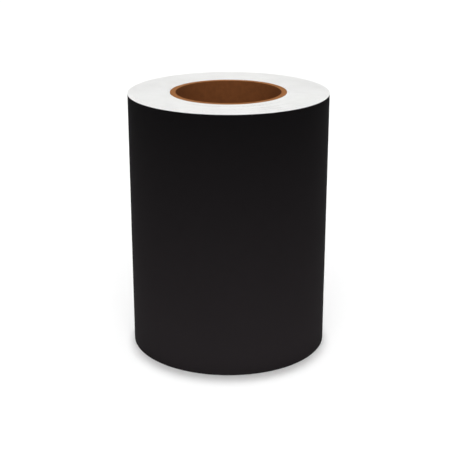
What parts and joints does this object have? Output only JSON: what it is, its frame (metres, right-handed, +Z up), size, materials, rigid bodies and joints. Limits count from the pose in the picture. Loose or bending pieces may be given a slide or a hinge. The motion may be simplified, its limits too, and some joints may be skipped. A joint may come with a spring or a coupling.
{
  "type": "roll of sign vinyl",
  "caption": "Roll of black self-adhesive sign film on a white paper liner, wound on a brown paperboard core and standing on one end.",
  "frame": {"origin": "on the roll's axis, on the end face that the roll stands on", "axes": "+Z up along the roll's axis; the tail's edge is at the back, 110 degrees round from +X, so -Y faces the front"},
  "size_m": [0.1453, 0.1455, 0.1905],
  "materials": {
    "kraft_lining": "matte",
    "core_board": "matte",
    "tape": "gloss",
    "liner_paper": "satin",
    "adhesive": "gloss",
    "black_film": "satin"
  },
  "bodies": {
    "root": {"core_inner_ply": "kraft_lining", "core_body_ply_1": "core_board", "core_body_ply_2": "core_board", "core_body_ply_3": "core_board", "core_body_ply_4": "core_board", "core_body_ply_5": "core_board", "core_outer_ply": "core_board", "start_tape": "tape", "inner_turns": "liner_paper", "release_liner": "liner_paper", "adhesive_coat": "adhesive", "vinyl_film": "black_film", "tail_tab_lower": "tape", "tail_tab_upper": "tape"}
  },
  "joints": []
}
